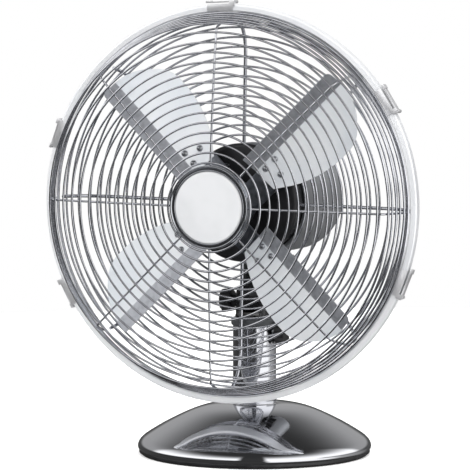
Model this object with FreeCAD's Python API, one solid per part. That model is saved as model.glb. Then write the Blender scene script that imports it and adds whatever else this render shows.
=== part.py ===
import FreeCAD
import Part
import math
import os

# Oscillating desk fan with a wire cage, a round weighted base and a tilting, telescopic neck.
# Millimetres. Origin: centre of the flat underside of the base. +Z up, the fan blows towards -Y.
Vector = FreeCAD.Vector
up = Vector(0, 0, 1)
origin = Vector(0, 0, 0)

# Base
base_radius = 104.6
lip_bottom = 4.6
pad_thickness = 1.5
tray_top = 4.5
dome_top = 45.2
sheet = 1.5
ballast_radius = 80
ballast_top = 15
screw_circle = 60
inlet_height = 13.5
inlet_bore = 3.5
gland_back = 83.4

# Column and its telescopic post
column_radius = 19.4
column_wall = 1.6
column_top = 115
collar_top = 122.5
post_radius = 16.5
post_bottom = 58
height_knob_height = 110
height_knob_radius = 12
stud_radius = 3
clamp_bush_radius = 4.8

# Tilt joint and oscillating neck
tilt_height = 137
cheek_radius = 12.5
cheek_inner = 9.3
cheek_outer = 14
tilt_bolt_radius = 4
boss_bottom = 151
boss_top = 171
boss_radius = 12.5
pivot_radius = 6
bush_radius = 8
lug_x = 20
lug_y = 7
link_bottom = 161.6
link_thickness = 4

# Head. Its own frame has +Z forward along the shaft, +Y up, and its centre on the shaft above the column
head_height = 227
running_fit = 0.05
shaft_radius = 4
motor_radius = 50
motor_rear = -104
bead_radius = 52.6
gear_depth = -73
idler_x = 13.5
output_x = -6
crank_radius = 11
rear_plane = 27.5

# Wire cage
rim_radius = 175
rim_inner = 168.9
rim_depth = 61.5
rim_half = 4.5
wire = 1.0
rear_rib_wire = 1.65
rear_flat = 132
rear_bend = 34
rib_count = 8
ring_pitch = 8.63
first_ring = 38.5
face_rings = 14
face_front = 106.5
dome_radius = 1380
badge_radius = 31.2
bezel_radius = 36.5
cage_turn = -1

# Rotor
blade_count = 4
blade_turn = 44.4
blade_thickness = 1.2
fold_depth = 64.2
fold_offset = 2.2
pitch_angle = 11
lip_angle = 25
blade_tip = 150.6
clip_angles = [92, 32, -21.5, 208, 160]


def section(points):
    """Face in the XZ plane from (radius, height) corners; a third item marks the middle of an arc."""
    edges = []
    previous = points[0]
    middle = None
    for point in points[1:] + [points[0]]:
        if len(point) == 3:
            middle = point
            continue
        start = Vector(previous[0], 0, previous[1])
        end = Vector(point[0], 0, point[1])
        if middle:
            edges.append(Part.Arc(start, Vector(middle[0], 0, middle[1]), end).toShape())
        else:
            edges.append(Part.makeLine(start, end))
        middle = None
        previous = point
    return Part.Face(Part.Wire(edges))


def turned(points):
    """Solid of revolution about Z."""
    return section(points).revolve(origin, up, 360)


def tube(outer, inner, low, high):
    body = Part.makeCylinder(outer, high - low, Vector(0, 0, low))
    if inner:
        body = body.cut(Part.makeCylinder(inner, high - low, Vector(0, 0, low)))
    return body


def box(low, high):
    low = Vector(*low)
    size = Vector(*high).sub(low)
    return Part.makeBox(size.x, size.y, size.z, low)


def turned_about_z(shape, angle):
    copy = shape.copy()
    copy.rotate(origin, up, angle)
    return copy


def spaced(shape, count, start=0):
    """Copies of one solid, evenly spaced about Z."""
    return [turned_about_z(shape, start + 360 / count * step) for step in range(count)]


def along_x(shape, height):
    """Shape made about Z, laid along +X at a height."""
    copy = shape.copy()
    copy.rotate(origin, Vector(0, 1, 0), 90)
    copy.translate(Vector(0, 0, height))
    return copy


def in_head(shape):
    """Shape made in the head's own frame, placed on the fan."""
    copy = shape.copy()
    copy.rotate(origin, Vector(1, 0, 0), 90)
    copy.translate(Vector(0, 0, head_height))
    return copy


def save(name, shape):
    shape.exportStep("parts/" + name + ".step")


def save_group(name, solids):
    save(name, Part.makeCompound(solids))


# ---------------------------------------------------------------- base and column


def base_pad():
    return tube(base_radius - 3, 0, 0, pad_thickness)


def base_tray():
    plate = tube(base_radius - 0.8, 9, pad_thickness, tray_top)
    upstand = tube(102, 99.2, tray_top, 9)
    tray = plate.fuse(upstand)
    notch = box((-8, 90, tray_top), (8, 104, 12))
    screw = Part.makeCylinder(2.4, 10, Vector(screw_circle, 0, 0))
    head = Part.makeCylinder(4.6, 1.6, Vector(screw_circle, 0, pad_thickness))
    tray = tray.cut(notch)
    for hole in spaced(screw, 4, 45) + spaced(head, 4, 45):
        tray = tray.cut(hole)
    return tray


def base_shell():
    outline = [
        (104.2, lip_bottom), (base_radius, 7.3, "arc"), (101.4, 13.9),
        (84.7, 24.9, "arc"), (61, 36.7), (45, 42.6, "arc"), (25.5, dome_top), (5.4, dome_top),
        (5.4, dome_top - sheet), (25.2, dome_top - sheet), (44.3, 41.2, "arc"), (60.3, 35.3),
        (83.8, 23.6, "arc"), (100.4, 12.7), (102.95, 8.7, "arc"), (102.5, lip_bottom),
    ]
    hole = Part.makeCylinder(5, 40, Vector(0, 75, inlet_height), Vector(0, 1, 0))
    seat = Part.makeCylinder(7.7, 10, Vector(0, gland_back + 18.5, inlet_height), Vector(0, 1, 0))
    return turned(outline).cut(hole).cut(seat)


def ballast_weight():
    ring = tube(ballast_radius, 5.3, tray_top, ballast_top)
    hole = Part.makeCylinder(2, 12, Vector(screw_circle, 0, tray_top))
    for cut in spaced(hole, 4, 45):
        ring = ring.cut(cut)
    return ring


def base_screws():
    shank = Part.makeCylinder(2, 10.4, Vector(screw_circle, 0, pad_thickness + 1.6))
    head = Part.makeCylinder(4.5, 1.5, Vector(screw_circle, 0, pad_thickness + 0.1))
    return spaced(shank.fuse(head), 4, 45)


def cord_gland():
    points = [(inlet_bore, 0), (5, 0), (5, 18.6), (7.5, 18.6), (7.5, 20.4), (5.2, 24), (inlet_bore, 24)]
    gland = turned(points)
    gland.rotate(origin, Vector(1, 0, 0), -90)
    gland.translate(Vector(0, gland_back, inlet_height))
    return gland


def run_capacitor():
    block = box((-22, -58, ballast_top), (22, -40, ballast_top + 13))
    return block.makeFillet(2, block.Edges)


def tie_bolt():
    head = Part.makeCylinder(8.5, 2.8, Vector(0, 0, 1.7))
    return head.fuse(Part.makeCylinder(5, 50, Vector(0, 0, tray_top)))


def column_tube():
    inner = column_radius - column_wall
    outline = [
        (5, dome_top), (column_radius, dome_top), (column_radius, column_top),
        (inner, column_top), (inner, 57), (5, 57),
    ]
    hole = Part.makeCylinder(clamp_bush_radius, 30, Vector(0, 0, height_knob_height), Vector(1, 0, 0))
    return turned(outline).cut(hole)


def clamp_bush():
    bush = tube(clamp_bush_radius, stud_radius + running_fit, post_radius + 0.6, column_radius + 1)
    return along_x(bush, height_knob_height)


def column_collar():
    bore = post_radius + running_fit
    outline = [
        (bore, column_top + 0.1), (column_radius, column_top + 0.1), (column_radius + 1.6, column_top + 1.5),
        (column_radius + 1.6, collar_top - 2), (column_radius - 0.4, collar_top), (bore, collar_top),
    ]
    return turned(outline)


# ---------------------------------------------------------------- sliding mast and its knobs


def inner_post():
    return tube(post_radius, post_radius - 1.6, post_bottom, collar_top)


def tilt_yoke():
    spigot = Part.makeCylinder(post_radius - 1.65, 18, Vector(0, 0, collar_top - 17.7))
    flange = Part.makeCylinder(17.4, 1.8, Vector(0, 0, collar_top + 0.3))
    base_height = collar_top + 2.1
    top_centre = Vector(-cheek_outer, 0, tilt_height)
    round_top = Part.makeCylinder(cheek_radius, 2 * cheek_outer, top_centre, Vector(1, 0, 0))
    block = box((-cheek_outer, -cheek_radius, base_height - 1), (cheek_outer, cheek_radius, tilt_height))
    gap = box((-cheek_inner, -30, base_height), (cheek_inner, 30, 160))
    bore = Part.makeCylinder(tilt_bolt_radius, 60, Vector(-30, 0, tilt_height), Vector(1, 0, 0))
    outside = Part.makeCylinder(17.4, 60, Vector(0, 0, 100))
    cheeks = block.fuse(round_top).common(outside).cut(gap)
    return cheeks.fuse(flange).fuse(spigot).cut(bore).removeSplitter()


def tilt_bolt():
    shank = Part.makeCylinder(tilt_bolt_radius, cheek_outer + 27, Vector(0, 0, -27))
    head = Part.makeCylinder(7, 4.5, Vector(0, 0, cheek_outer))
    dome = head.makeFillet(1.5, [head.Edges[0]])
    return along_x(shank.fuse(dome), tilt_height)


def fluted(radius, low, high, flutes, depth, width):
    """Round grip with scooped flutes round its edge."""
    grip = tube(radius, 0, low, high)
    grip = grip.makeFillet(1.2, [edge for edge in grip.Edges if edge.Closed])
    scoop = Part.makeCylinder(width, high - low + 4, Vector(radius + width - depth, 0, low - 2))
    for cut in spaced(scoop, flutes):
        grip = grip.cut(cut)
    return grip


def tilt_knob():
    neck = tube(5.6, 0, -22, -cheek_outer - 0.4)
    knob = fluted(10, -31, -21, 12, 1.3, 2.2).fuse(neck)
    bore = Part.makeCylinder(tilt_bolt_radius + running_fit, 30, Vector(0, 0, -27.3))
    return along_x(knob.cut(bore), tilt_height)


def height_knob():
    grip = fluted(height_knob_radius, column_radius + 3, column_radius + 11, 5, 3.6, 6)
    hub = tube(4.6, 0, column_radius + 1.4, column_radius + 4)
    bore = Part.makeCylinder(stud_radius, 12, Vector(0, 0, column_radius - 4))
    return along_x(grip.fuse(hub).cut(bore), height_knob_height)


def height_knob_stud():
    return along_x(tube(stud_radius, 0, post_radius + 0.35, column_radius + 8), height_knob_height)


# ---------------------------------------------------------------- tilting neck and link


def neck_casting():
    tongue = Part.makeCylinder(11, 18, Vector(-9, 0, tilt_height), Vector(1, 0, 0))
    web = box((-9, -9.5, tilt_height), (9, 9.5, boss_bottom + 1))
    boss = Part.makeCylinder(boss_radius, boss_top - boss_bottom, Vector(0, 0, boss_bottom))
    lug_end = Part.makeCylinder(6, 6, Vector(lug_x, lug_y, link_bottom - 6.3))
    arm = box((0, -5, 0), (math.hypot(lug_x, lug_y), 5, 6))
    arm.rotate(origin, up, math.degrees(math.atan2(lug_y, lug_x)))
    arm.translate(Vector(0, 0, link_bottom - 6.3))
    casting = tongue.fuse(web).fuse(boss).fuse(arm).fuse(lug_end)
    bore = Part.makeCylinder(tilt_bolt_radius + running_fit, 40, Vector(-20, 0, tilt_height), Vector(1, 0, 0))
    socket = Part.makeCylinder(bush_radius, 30, Vector(0, 0, boss_bottom + 1))
    pin_hole = Part.makeCylinder(2.5, 20, Vector(lug_x, lug_y, link_bottom - 8))
    return casting.cut(bore).cut(socket).cut(pin_hole).removeSplitter()


def pivot_bush():
    return tube(bush_radius, pivot_radius + running_fit, boss_bottom + 1, boss_top)


def link_pin():
    place = Vector(lug_x, lug_y, link_bottom - 6.3)
    shank = Part.makeCylinder(2.5, 6.3 + link_thickness + 0.3, place)
    head = Part.makeCylinder(4, 1.6, place.add(Vector(0, 0, 6.3 + link_thickness + 0.3)))
    return shank.fuse(head)


def link_arm():
    far_x = output_x + crank_radius
    far_y = -gear_depth
    length = math.hypot(far_x - lug_x, far_y - lug_y)
    near = Part.makeCylinder(6, link_thickness)
    far = Part.makeCylinder(6, link_thickness, Vector(length, 0, 0))
    bar = box((0, -4, 0), (length, 4, link_thickness))
    arm = near.fuse(far).fuse(bar)
    arm = arm.cut(Part.makeCylinder(2.5 + running_fit, 10, Vector(0, 0, -2)))
    arm = arm.cut(Part.makeCylinder(2.6, 10, Vector(length, 0, -2)))
    arm.rotate(origin, up, math.degrees(math.atan2(far_y - lug_y, far_x - lug_x)))
    arm.translate(Vector(lug_x, lug_y, link_bottom))
    return arm.removeSplitter()


# ---------------------------------------------------------------- motor (head frame)


def pivot_pin():
    """Upright pin under the motor, turning in the neck's bush."""
    pin = Part.makeCylinder(pivot_radius, 24.3, Vector(0, 0, boss_bottom + 1.2))
    foot = Part.makeCylinder(13, 3.2, Vector(0, 0, boss_top + 0.3))
    return pin.fuse(foot)


def front_shield():
    outline = [
        (7, 22.5), (7, 12), (11, 12), (11, 21.5), (44.5, 21.5), (46.4, 19.5), (46.4, -2), (48.4, -2),
        (48.4, 20), (47.5, 22.8, "arc"), (45, 24.8), (11, 24.8), (7, 24.8),
    ]
    shield = turned(outline)
    boss = tube(5, 0, 24, 28.9)
    boss.translate(Vector(34, 0, 0))
    hole = Part.makeCylinder(1.8, 30, Vector(34, 0, 15))
    vent = box((17, -2.2, 15), (28, 2.2, 30))
    for part in spaced(boss, 4, 22.5):
        shield = shield.fuse(part)
    for cut in spaced(hole, 4, 22.5):
        shield = shield.cut(cut)
    for cut in spaced(vent, 12):
        shield = shield.cut(cut)
    return in_head(shield)


def motor_housing():
    inner = motor_radius - 1.2
    outline = [
        (inner, 4), (inner, 4.2), (bead_radius - 1, 4.2), (bead_radius, 2.8, "arc"), (bead_radius - 1, 1.4),
        (motor_radius, 1), (motor_radius, motor_rear + 12), (motor_radius - 3.5, motor_rear + 3.5, "arc"),
        (motor_radius - 12, motor_rear), (4.2, motor_rear), (4.2, motor_rear + 1.2),
        (motor_radius - 12, motor_rear + 1.2), (inner - 3.2, motor_rear + 4.4, "arc"),
        (inner, motor_rear + 12),
    ]
    can = turned(outline)
    slot = box((20, -1.8, motor_rear - 2), (36, 1.8, motor_rear + 3))
    for cut in spaced(slot, 12, 15):
        can = can.cut(cut)
    crank_hole = Part.makeCylinder(5, 20, Vector(output_x, -60, gear_depth), Vector(0, 1, 0))
    rod_hole = Part.makeCylinder(3.4, 20, Vector(idler_x, 40, gear_depth), Vector(0, 1, 0))
    pin_hole = Part.makeCylinder(pivot_radius, 10, Vector(0, -54, 0), Vector(0, 1, 0))
    return in_head(can.cut(crank_hole).cut(rod_hole).cut(pin_hole))


def stator_core():
    core = tube(45, 26.8, -36, -4)
    slot = Part.makeCylinder(3.6, 32, Vector(31, 0, -36))
    for cut in spaced(slot, 8):
        core = core.cut(cut)
    return in_head(core)


def stator_windings():
    front = Part.makeTorus(36, 5.5, Vector(0, 0, 2))
    rear = Part.makeTorus(36, 5.5, Vector(0, 0, -42))
    return [in_head(front), in_head(rear)]


def shaft_bearings():
    bush = tube(7, shaft_radius + running_fit, 12, 24.8)
    rear = tube(7, shaft_radius + running_fit, -56, -50)
    return [in_head(bush), in_head(rear)]


def rear_shield():
    disc = tube(48.4, 7, -54, -51)
    window = Part.makeCylinder(8, 10, Vector(32, 0, -58))
    for cut in spaced(window, 6):
        disc = disc.cut(cut)
    return in_head(disc)


def gearbox_case():
    """Open-topped cast box behind the rear shield, round the worm and its gears."""
    outer = box((-24, -27, -91), (25, 14, -54.4))
    inner = box((-22, -25, -89), (23, 12, -56.4))
    worm_way = Part.makeCylinder(7.2, 40, Vector(0, 0, -80))
    rod_way = Part.makeCylinder(3.4, 20, Vector(idler_x, 5, gear_depth), Vector(0, 1, 0))
    crank_way = Part.makeCylinder(3.4, 20, Vector(output_x, -40, gear_depth), Vector(0, 1, 0))
    return in_head(outer.cut(inner).cut(worm_way).cut(rod_way).cut(crank_way))


def speed_switch():
    body = tube(13, 3.3, motor_rear + 1.8, motor_rear + 11)
    return in_head(body)


def speed_knob():
    spindle = tube(3.2, 0, motor_rear - 4, motor_rear + 9)
    grip = fluted(13, motor_rear - 13, motor_rear - 0.5, 16, 0.9, 1.6)
    pointer = box((-1.3, 2, motor_rear - 13.8), (1.3, 12, motor_rear - 12))
    return in_head(grip.fuse(spindle).fuse(pointer))


def clutch_knob():
    top = motor_radius - 2.6
    rod = Part.makeCylinder(2.5, top + 5.6 - 14, Vector(idler_x, 14, gear_depth), Vector(0, 1, 0))
    grip = Part.makeCylinder(7, 11, Vector(idler_x, top + 4, gear_depth), Vector(0, 1, 0))
    grip = grip.makeFillet(2, [edge for edge in grip.Edges if edge.Closed])
    return in_head(grip.fuse(rod))


def gear(radius, teeth, height, bore):
    """Straight-toothed gear about Z, from its base at height 0."""
    points = []
    for step in range(teeth):
        for share, reach in ((0, -0.9), (0.2, 0), (0.45, 0), (0.65, -0.9)):
            angle = 2 * math.pi * (step + share) / teeth
            points.append(Vector((radius + reach) * math.cos(angle), (radius + reach) * math.sin(angle), 0))
    rim = Part.Face(Part.makePolygon(points + points[:1])).extrude(Vector(0, 0, height))
    return rim.cut(Part.makeCylinder(bore, height)) if bore else rim


def on_upright(shape, x, height):
    """Gear made about Z, stood on an upright shaft in the gearbox."""
    copy = shape.copy()
    copy.translate(Vector(x, -gear_depth, head_height + height))
    return copy


def idler_gear():
    """Worm wheel and pinion on one upright spindle."""
    wheel = on_upright(gear(8.2, 20, 6, 0), idler_x, -3)
    pinion = on_upright(gear(3.4, 8, 14, 0), idler_x, -17)
    spindle = on_upright(tube(2.5, 0, 0, 33), idler_x, -23)
    return wheel.fuse(pinion).fuse(spindle)


def output_gear():
    return on_upright(gear(15.7, 36, 5, 3), output_x, -16)


def crank():
    """Output shaft with the crank disc and its pin under the motor."""
    disc = Part.makeCylinder(15, 4, Vector(0, 0, 0))
    pin = Part.makeCylinder(2.5, 3, Vector(crank_radius, 0, -2.5))
    shaft = Part.makeCylinder(3, 45, Vector(0, 0, 2))
    return on_upright(disc.fuse(pin).fuse(shaft), output_x, 168.5 - head_height)


# ---------------------------------------------------------------- rotor (head frame)


def motor_shaft():
    return in_head(tube(shaft_radius, 0, -84, 80))


def rotor_core():
    return in_head(tube(26.4, shaft_radius, -36, -4))


def worm():
    thread = tube(4.9, shaft_radius, -80, -66)
    groove = Part.makeTorus(5.2, 0.7, Vector(0, 0, 0))
    for step in range(6):
        cut = groove.copy()
        cut.translate(Vector(0, 0, -78 + 2 * step))
        thread = thread.cut(cut)
    return in_head(thread)


def blade_sheet():
    half = blade_thickness / 2
    pitch = math.radians(pitch_angle)
    rise = math.radians(lip_angle)
    reach = 62
    lip = 20
    back = (-reach * math.cos(pitch), fold_depth - reach * math.sin(pitch))
    front = (lip * math.cos(rise), fold_depth + lip * math.sin(rise))
    corners = [
        (back[0], back[1] + half), (0, fold_depth + half), (front[0], front[1] + half),
        (front[0], front[1] - half), (0, fold_depth - half), (back[0], back[1] - half),
    ]
    profile = Part.makePolygon([Vector(30, fold_offset + v, w) for v, w in corners + corners[:1]])
    return Part.Face(profile).extrude(Vector(130, 0, 0))


def blade_outline():
    """Plan shape of a blade, seen along the shaft."""
    def at(u, v):
        return Vector(u, v, 0)

    edges = [
        Part.makeLine(at(40, -19), at(40, 16.4)),
        Part.makeLine(at(40, 16.4), at(blade_tip - 5, 16.4)),
        Part.Arc(at(blade_tip - 5, 16.4), at(blade_tip - 1.6, 15), at(blade_tip - 0.5, 11.6)).toShape(),
        Part.makeLine(at(blade_tip - 0.5, 11.6), at(blade_tip - 0.2, 2)),
        Part.Arc(at(blade_tip - 0.2, 2), at(145.6, -16.5), at(135, -30.5)).toShape(),
        Part.Arc(at(135, -30.5), at(125, -38.8), at(112, -42)).toShape(),
        Part.Arc(at(112, -42), at(81.3, -39.1), at(55.5, -29.2)).toShape(),
        Part.makeLine(at(55.5, -29.2), at(40, -19)),
    ]
    return Part.Face(Part.Wire(edges)).extrude(Vector(0, 0, 130))


rivet_places = [(48, -4), (60, -4), (54, -17)]
face_lift = blade_thickness / 2 * math.cos(math.radians(pitch_angle))
arm_drop = 0.8


def on_face(shape, u, across):
    """Shape made about the blade face's own normal, set on the pitched face at a place on it."""
    pitch = math.radians(pitch_angle)
    copy = shape.copy()
    copy.rotate(origin, Vector(1, 0, 0), pitch_angle)
    height = fold_depth + across * math.sin(pitch)
    copy.translate(Vector(u, fold_offset + across * math.cos(pitch), height))
    return copy


def rivet_holes():
    hole = Part.makeCylinder(1.5, 12, Vector(0, 0, -6))
    return [on_face(hole, u, across) for u, across in rivet_places]


def blade_solids():
    one = blade_sheet().common(blade_outline())
    for hole in rivet_holes():
        one = one.cut(hole)
    return spaced(one, blade_count, blade_turn)


def blade_spider():
    """Hub on the shaft with one pitched arm behind each blade."""
    hub = tube(17, 0, 52, 76).fuse(tube(22, 0, 50, 62))
    arm = on_face(box((10, -24, -arm_drop - 2.4), (68, -0.5, -arm_drop)), 0, 0)
    arm = arm.common(Part.makeCylinder(67, 100))
    for hole in rivet_holes():
        arm = arm.cut(hole)
    for part in spaced(arm, blade_count, blade_turn):
        hub = hub.fuse(part)
    bore = Part.makeCylinder(shaft_radius, 100)
    return in_head(hub.cut(bore).removeSplitter())


def blade_rivets():
    """Round-headed rivets; the tail under the arm is a flat button."""
    foot = -arm_drop - 2.45
    rivet = Part.makeCylinder(1.5, face_lift + 0.1 - foot, Vector(0, 0, foot))
    above = Part.makeCylinder(4, 6, Vector(0, 0, face_lift + 0.05))
    dome = Part.makeSphere(3.2, Vector(0, 0, face_lift - 1)).common(above)
    tail = Part.makeCylinder(2.6, 1, Vector(0, 0, foot - 0.95))
    rivet = rivet.fuse(dome).fuse(tail)
    rivets = []
    for u, across in rivet_places:
        rivets += spaced(on_face(rivet, u, across), blade_count, blade_turn)
    return [in_head(part) for part in rivets]


# ---------------------------------------------------------------- wire cage (head frame)


def face_depth(radius):
    return face_front - radius * radius / (2 * dome_radius)


def face_ring_solids():
    rings = []
    for step in range(face_rings):
        radius = first_ring + ring_pitch * step
        rings.append(in_head(Part.makeTorus(radius, wire, Vector(0, 0, face_depth(radius)))))
    return rings


wall_top = (158.5, 92)
wall_foot = (167.4, 66.5)


def wall_ring_solids():
    """Rings down the steep side of the front cage; the last one is thicker and sits in the rim."""
    rings = []
    count = 5
    for step in range(count):
        share = step / count
        radius = wall_top[0] + (wall_foot[0] - wall_top[0]) * share
        depth = wall_top[1] + (wall_foot[1] - wall_top[1]) * share
        rings.append(in_head(Part.makeTorus(radius, wire, Vector(0, 0, depth))))
    rings.append(in_head(Part.makeTorus(wall_foot[0], 1.4, Vector(0, 0, wall_foot[1]))))
    return rings


def swept(points, radius):
    """Round wire along straight runs joined by arcs; a third item marks the middle of an arc."""
    edges = []
    previous = points[0]
    middle = None
    for point in points[1:]:
        if len(point) == 3:
            middle = point
            continue
        start = Vector(previous[0], 0, previous[1])
        end = Vector(point[0], 0, point[1])
        if middle:
            edges.append(Part.Arc(start, Vector(middle[0], 0, middle[1]), end).toShape())
        else:
            edges.append(Part.makeLine(start, end))
        middle = None
        previous = point
    path = Part.Wire(edges)
    first = edges[0]
    tangent = first.tangentAt(first.FirstParameter)
    circle = Part.Wire(Part.makeCircle(radius, Vector(points[0][0], 0, points[0][1]), tangent))
    return path.makePipeShell([circle], True, True)


def front_rib_solids():
    inside = 2 * wire + 0.05
    bend = 151
    path = [
        (bezel_radius + 0.05, face_depth(bezel_radius) - inside),
        (95, face_depth(95) - inside, "arc"), (bend, face_depth(bend) - inside),
        (155, 94.2, "arc"), (156.9, 90), (wall_foot[0] - 2.5, wall_foot[1] + 0.6),
    ]
    rib = swept(path, wire)
    return [in_head(part) for part in spaced(rib, rib_count, cage_turn)]


def rear_depth(radius):
    """Depth of the rear rings: flat, then curving forward to the rim, just inside the ribs."""
    inside = wire + rear_rib_wire + 0.05
    if radius <= rear_flat:
        return rear_plane + inside
    return rear_plane + rear_bend - math.sqrt((rear_bend - inside) ** 2 - (radius - rear_flat) ** 2)


def rear_ring_solids():
    rings = []
    for step in range(12):
        radius = 60 + ring_pitch * step
        rings.append(in_head(Part.makeTorus(radius, wire, Vector(0, 0, rear_depth(radius)))))
    for angle in (59, 70.5):
        turn = math.radians(angle)
        reach = rear_bend - wire - rear_rib_wire - 0.05
        place = Vector(0, 0, rear_plane + rear_bend - reach * math.cos(turn))
        rings.append(in_head(Part.makeTorus(rear_flat + reach * math.sin(turn), wire, place)))
    rings.append(in_head(Part.makeTorus(wall_foot[0], 1.4, Vector(0, 0, 2 * rim_depth - wall_foot[1]))))
    return rings


def rear_rib_solids():
    def on_bend(angle):
        turn = math.radians(angle)
        return (rear_flat + rear_bend * math.sin(turn), rear_plane + rear_bend * (1 - math.cos(turn)))

    path = [(44, rear_plane), (rear_flat, rear_plane), on_bend(37) + ("arc",), on_bend(74)]
    rib = swept(path, rear_rib_wire)
    return [in_head(part) for part in spaced(rib, rib_count, cage_turn)]


def rear_plate():
    """Black dished disc that clamps the rear cage to the motor."""
    outline = [
        (10, 29.2), (52.6, 29.2), (52.6, 30.6), (51.4, 32.2, "arc"), (49, 33), (30, 33.6), (10, 33.6),
    ]
    plate = turned(outline)
    hole = Part.makeCylinder(2, 20, Vector(34, 0, 22))
    for cut in spaced(hole, 4, 22.5):
        plate = plate.cut(cut)
    return in_head(plate)


def cage_screws():
    shank = Part.makeCylinder(1.8, 12, Vector(34, 0, 22))
    head = Part.makeCylinder(3.6, 2, Vector(34, 0, 33.8))
    return [in_head(part) for part in spaced(shank.fuse(head), 4, 22.5)]


def rim_band():
    low = rim_depth - rim_half
    high = rim_depth + rim_half
    outline = [
        (rim_inner, low + 0.8), (rim_inner + 0.8, low), (rim_radius - 2, low),
        (rim_radius - 0.5, low + 0.5, "arc"),
        (rim_radius, low + 2), (rim_radius, high - 2), (rim_radius - 0.5, high - 0.5, "arc"),
        (rim_radius - 2, high), (rim_inner + 0.8, high), (rim_inner, high - 0.8),
    ]
    return in_head(turned(outline))


def badge_bezel():
    outline = [
        (badge_radius + 0.1, 102.2), (bezel_radius - 0.4, 102.2), (bezel_radius, 105),
        (bezel_radius - 0.4, 108),
        (bezel_radius - 1, 108.6, "arc"), (bezel_radius - 1.8, 108.3), (bezel_radius - 2.6, 107.2),
        (badge_radius + 1.6, 107.2), (badge_radius + 0.9, 108, "arc"), (badge_radius + 0.1, 107.6),
    ]
    return in_head(turned(outline))


def badge_disc():
    outline = [
        (0, 102.4), (badge_radius, 102.4), (badge_radius, 107), (badge_radius - 0.5, 107.9, "arc"),
        (badge_radius - 1.6, 108.4), (0, 109),
    ]
    return in_head(turned(outline))


# ---------------------------------------------------------------- rim clips (head frame)

pin_reach = rim_radius + 1.9
clip_half = 12


def clip_bracket(angle):
    """Bent plate over the rim's front and outside, with the lever's hinge pin at one end."""
    front = rim_depth + rim_half
    plate = box((rim_radius - 5.6, -clip_half, front + 0.05), (rim_radius + 0.3, clip_half, front + 1.1))
    foot_low = (rim_radius - 2, -clip_half - 1.6, front + 0.05)
    foot = box(foot_low, (pin_reach + 1.6, -clip_half + 3, front + 1.1))
    pin = Part.makeCylinder(0.9, 2 * rim_half + 1, Vector(pin_reach, -clip_half, rim_depth - rim_half))
    return in_head(turned_about_z(plate.fuse(foot).fuse(pin), angle))


def clip_lever(angle):
    """Sprung bar along the outside of the rim, rolled round its hinge pin."""
    low = rim_depth - rim_half + 0.2
    high = rim_depth + rim_half - 0.2
    eye = Part.makeCylinder(1.7, high - low, Vector(pin_reach, -clip_half, low))
    bar = box((pin_reach - 0.4, -clip_half, low + 1), (pin_reach + 0.8, clip_half + 2, high - 1))
    tab = box((pin_reach - 0.4, clip_half - 2, low + 1), (pin_reach + 1.6, clip_half + 2, high - 1))
    bore = Part.makeCylinder(0.9 + running_fit, 20, Vector(pin_reach, -clip_half, low - 5))
    return in_head(turned_about_z(eye.fuse(bar).fuse(tab).cut(bore), angle))


def main():
    os.makedirs("parts", exist_ok=True)
    save("base_pad", base_pad())
    save("base_tray", base_tray())
    save("base_shell", base_shell())
    save("ballast_weight", ballast_weight())
    save_group("base_screws", base_screws())
    save("cord_gland", cord_gland())
    save("run_capacitor", run_capacitor())
    save("tie_bolt", tie_bolt())
    save("column_tube", column_tube())
    save("clamp_bush", clamp_bush())
    save("column_collar", column_collar())
    save("inner_post", inner_post())
    save("tilt_yoke", tilt_yoke())
    save("tilt_bolt", tilt_bolt())
    save("tilt_knob", tilt_knob())
    save("height_knob", height_knob())
    save("height_knob_stud", height_knob_stud())
    save("neck_casting", neck_casting())
    save("pivot_bush", pivot_bush())
    save("link_pin", link_pin())
    save("link_arm", link_arm())
    save("pivot_pin", pivot_pin())
    save("front_shield", front_shield())
    save("motor_housing", motor_housing())
    save("stator_core", stator_core())
    save_group("stator_windings", stator_windings())
    save_group("shaft_bearings", shaft_bearings())
    save("rear_shield", rear_shield())
    save("gearbox_case", gearbox_case())
    save("speed_switch", speed_switch())
    save("speed_knob", speed_knob())
    save("clutch_knob", clutch_knob())
    save("idler_gear", idler_gear())
    save("output_gear", output_gear())
    save("crank", crank())
    save("motor_shaft", motor_shaft())
    save("rotor_core", rotor_core())
    save("worm", worm())
    save("blade_spider", blade_spider())
    for number, solid in enumerate(blade_solids()):
        save("blade_" + str(number + 1), in_head(solid))
    save_group("blade_rivets", blade_rivets())
    save_group("front_face_rings", face_ring_solids())
    save_group("front_wall_rings", wall_ring_solids())
    save_group("front_ribs", front_rib_solids())
    save_group("rear_rings", rear_ring_solids())
    save_group("rear_ribs", rear_rib_solids())
    save("rear_plate", rear_plate())
    save_group("cage_screws", cage_screws())
    save("rim_band", rim_band())
    save("badge_bezel", badge_bezel())
    save("badge_disc", badge_disc())
    save_group("clip_brackets", [clip_bracket(angle) for angle in clip_angles])
    for number, angle in enumerate(clip_angles):
        save("clip_lever_" + str(number + 1), clip_lever(angle))


main()
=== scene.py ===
# Desk fan in chrome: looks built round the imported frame. Sizes in the dictionaries are millimetres.
import math
import bmesh
import bpy
from mathutils import Matrix, Vector


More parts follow.
